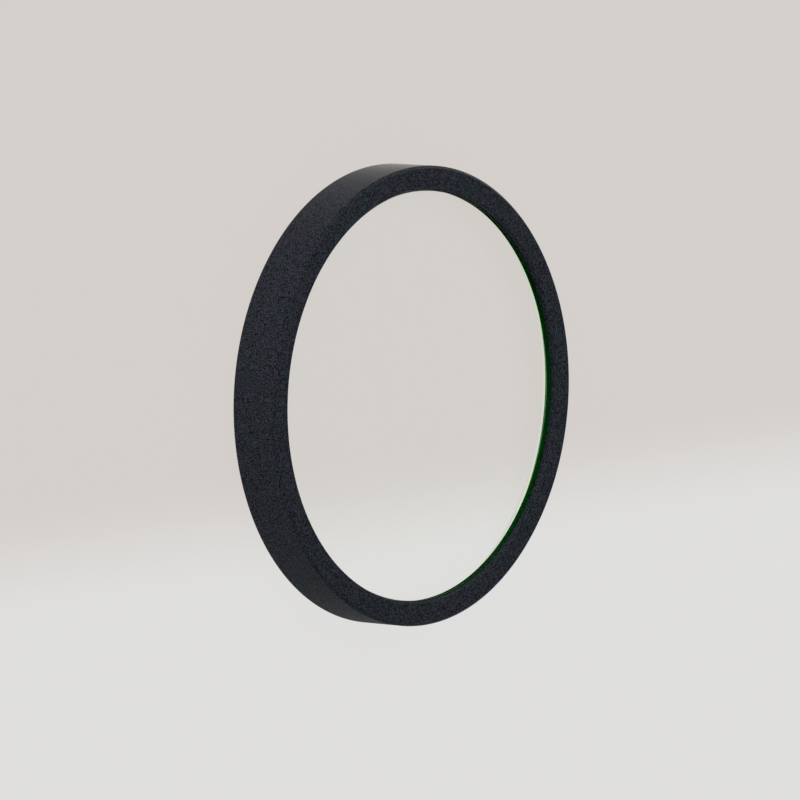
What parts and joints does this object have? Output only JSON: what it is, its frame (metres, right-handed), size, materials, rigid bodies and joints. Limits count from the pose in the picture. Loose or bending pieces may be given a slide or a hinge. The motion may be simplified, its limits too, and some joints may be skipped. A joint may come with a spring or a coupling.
{
  "type": "ultraviolet infrared cut filter",
  "caption": "Round mounted optical filter: a slim plain black ring whose front lip takes the boss of a clear coated glass disc, with a spring wire behind the disc.",
  "frame": {"origin": "centre of the rear rim, which the filter lies on, on the optical axis", "axes": "+Z along the optical axis, out of the front face with the lip; X and Y across the disc, with the opening of the retaining wire on the -Y side"},
  "size_m": [0.05, 0.05, 0.0057],
  "materials": {
    "ring": "matte black anodised, fine bead blast",
    "glass": "polished, coated on both faces, ground and darkened edge",
    "wire": "blackened spring steel"
  },
  "bodies": {
    "root": {"filter_ring": "ring", "filter_glass": "glass", "retaining_wire": "wire"}
  },
  "joints": []
}
